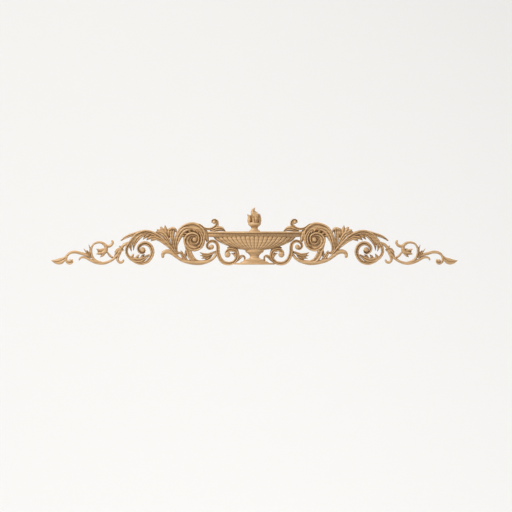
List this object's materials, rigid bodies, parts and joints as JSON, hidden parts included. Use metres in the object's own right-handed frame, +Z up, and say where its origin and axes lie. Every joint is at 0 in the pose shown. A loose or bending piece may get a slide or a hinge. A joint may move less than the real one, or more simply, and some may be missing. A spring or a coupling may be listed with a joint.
{
  "type": "carved oak pediment",
  "caption": "Carved oak pediment applique: a fluted bowl with a flame finial between acanthus scrolls, with a flat back for fixing over a door, mirror or cabinet.",
  "frame": {"origin": "on the flat back, at mid-width and mid-height of the carving", "axes": "+Z up, +X to the right of someone who looks at the carving, +Y into the wall behind it"},
  "size_m": [1.2, 0.031, 0.172],
  "materials": {
    "carved_pediment": "oiled oak, satin"
  },
  "bodies": {
    "root": {"carved_pediment": "carved_pediment"}
  },
  "joints": []
}
